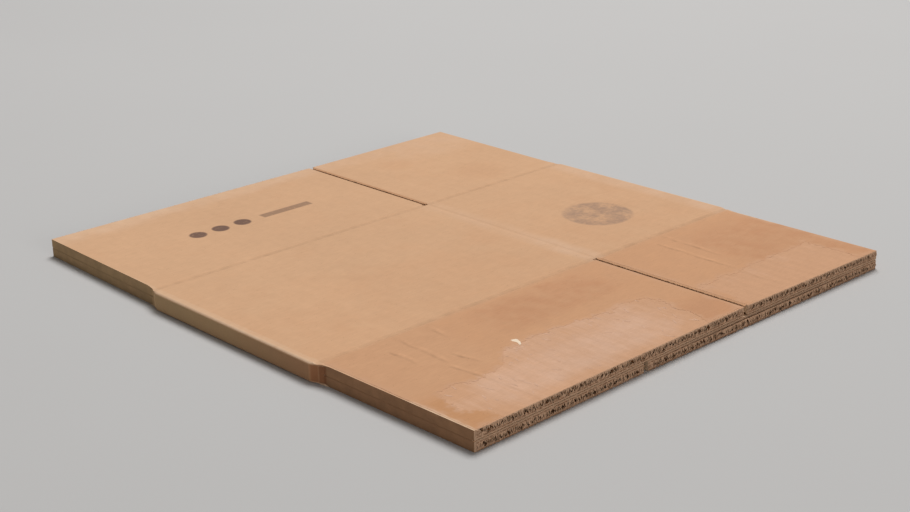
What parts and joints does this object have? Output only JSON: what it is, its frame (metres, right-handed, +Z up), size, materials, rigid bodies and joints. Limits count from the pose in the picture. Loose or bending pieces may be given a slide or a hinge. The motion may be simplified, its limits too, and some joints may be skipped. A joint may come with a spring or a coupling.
{
  "type": "flattened cardboard box",
  "caption": "Knocked-down corrugated shipping box lying flat: a folded, slotted and glued sheet with open flutes at its flap ends.",
  "frame": {"origin": "middle of the footprint, on the surface the box lies on", "axes": "+X along the flutes from the rear flaps to the front flaps, +Y across the panels from the long panel's folded edge, +Z up"},
  "size_m": [0.3812, 0.34, 0.0112],
  "materials": {
    "kraft_board": "matte kraft paper liner with open fluted cut ends"
  },
  "bodies": {
    "root": {"flattened_box": "kraft_board"}
  },
  "joints": []
}
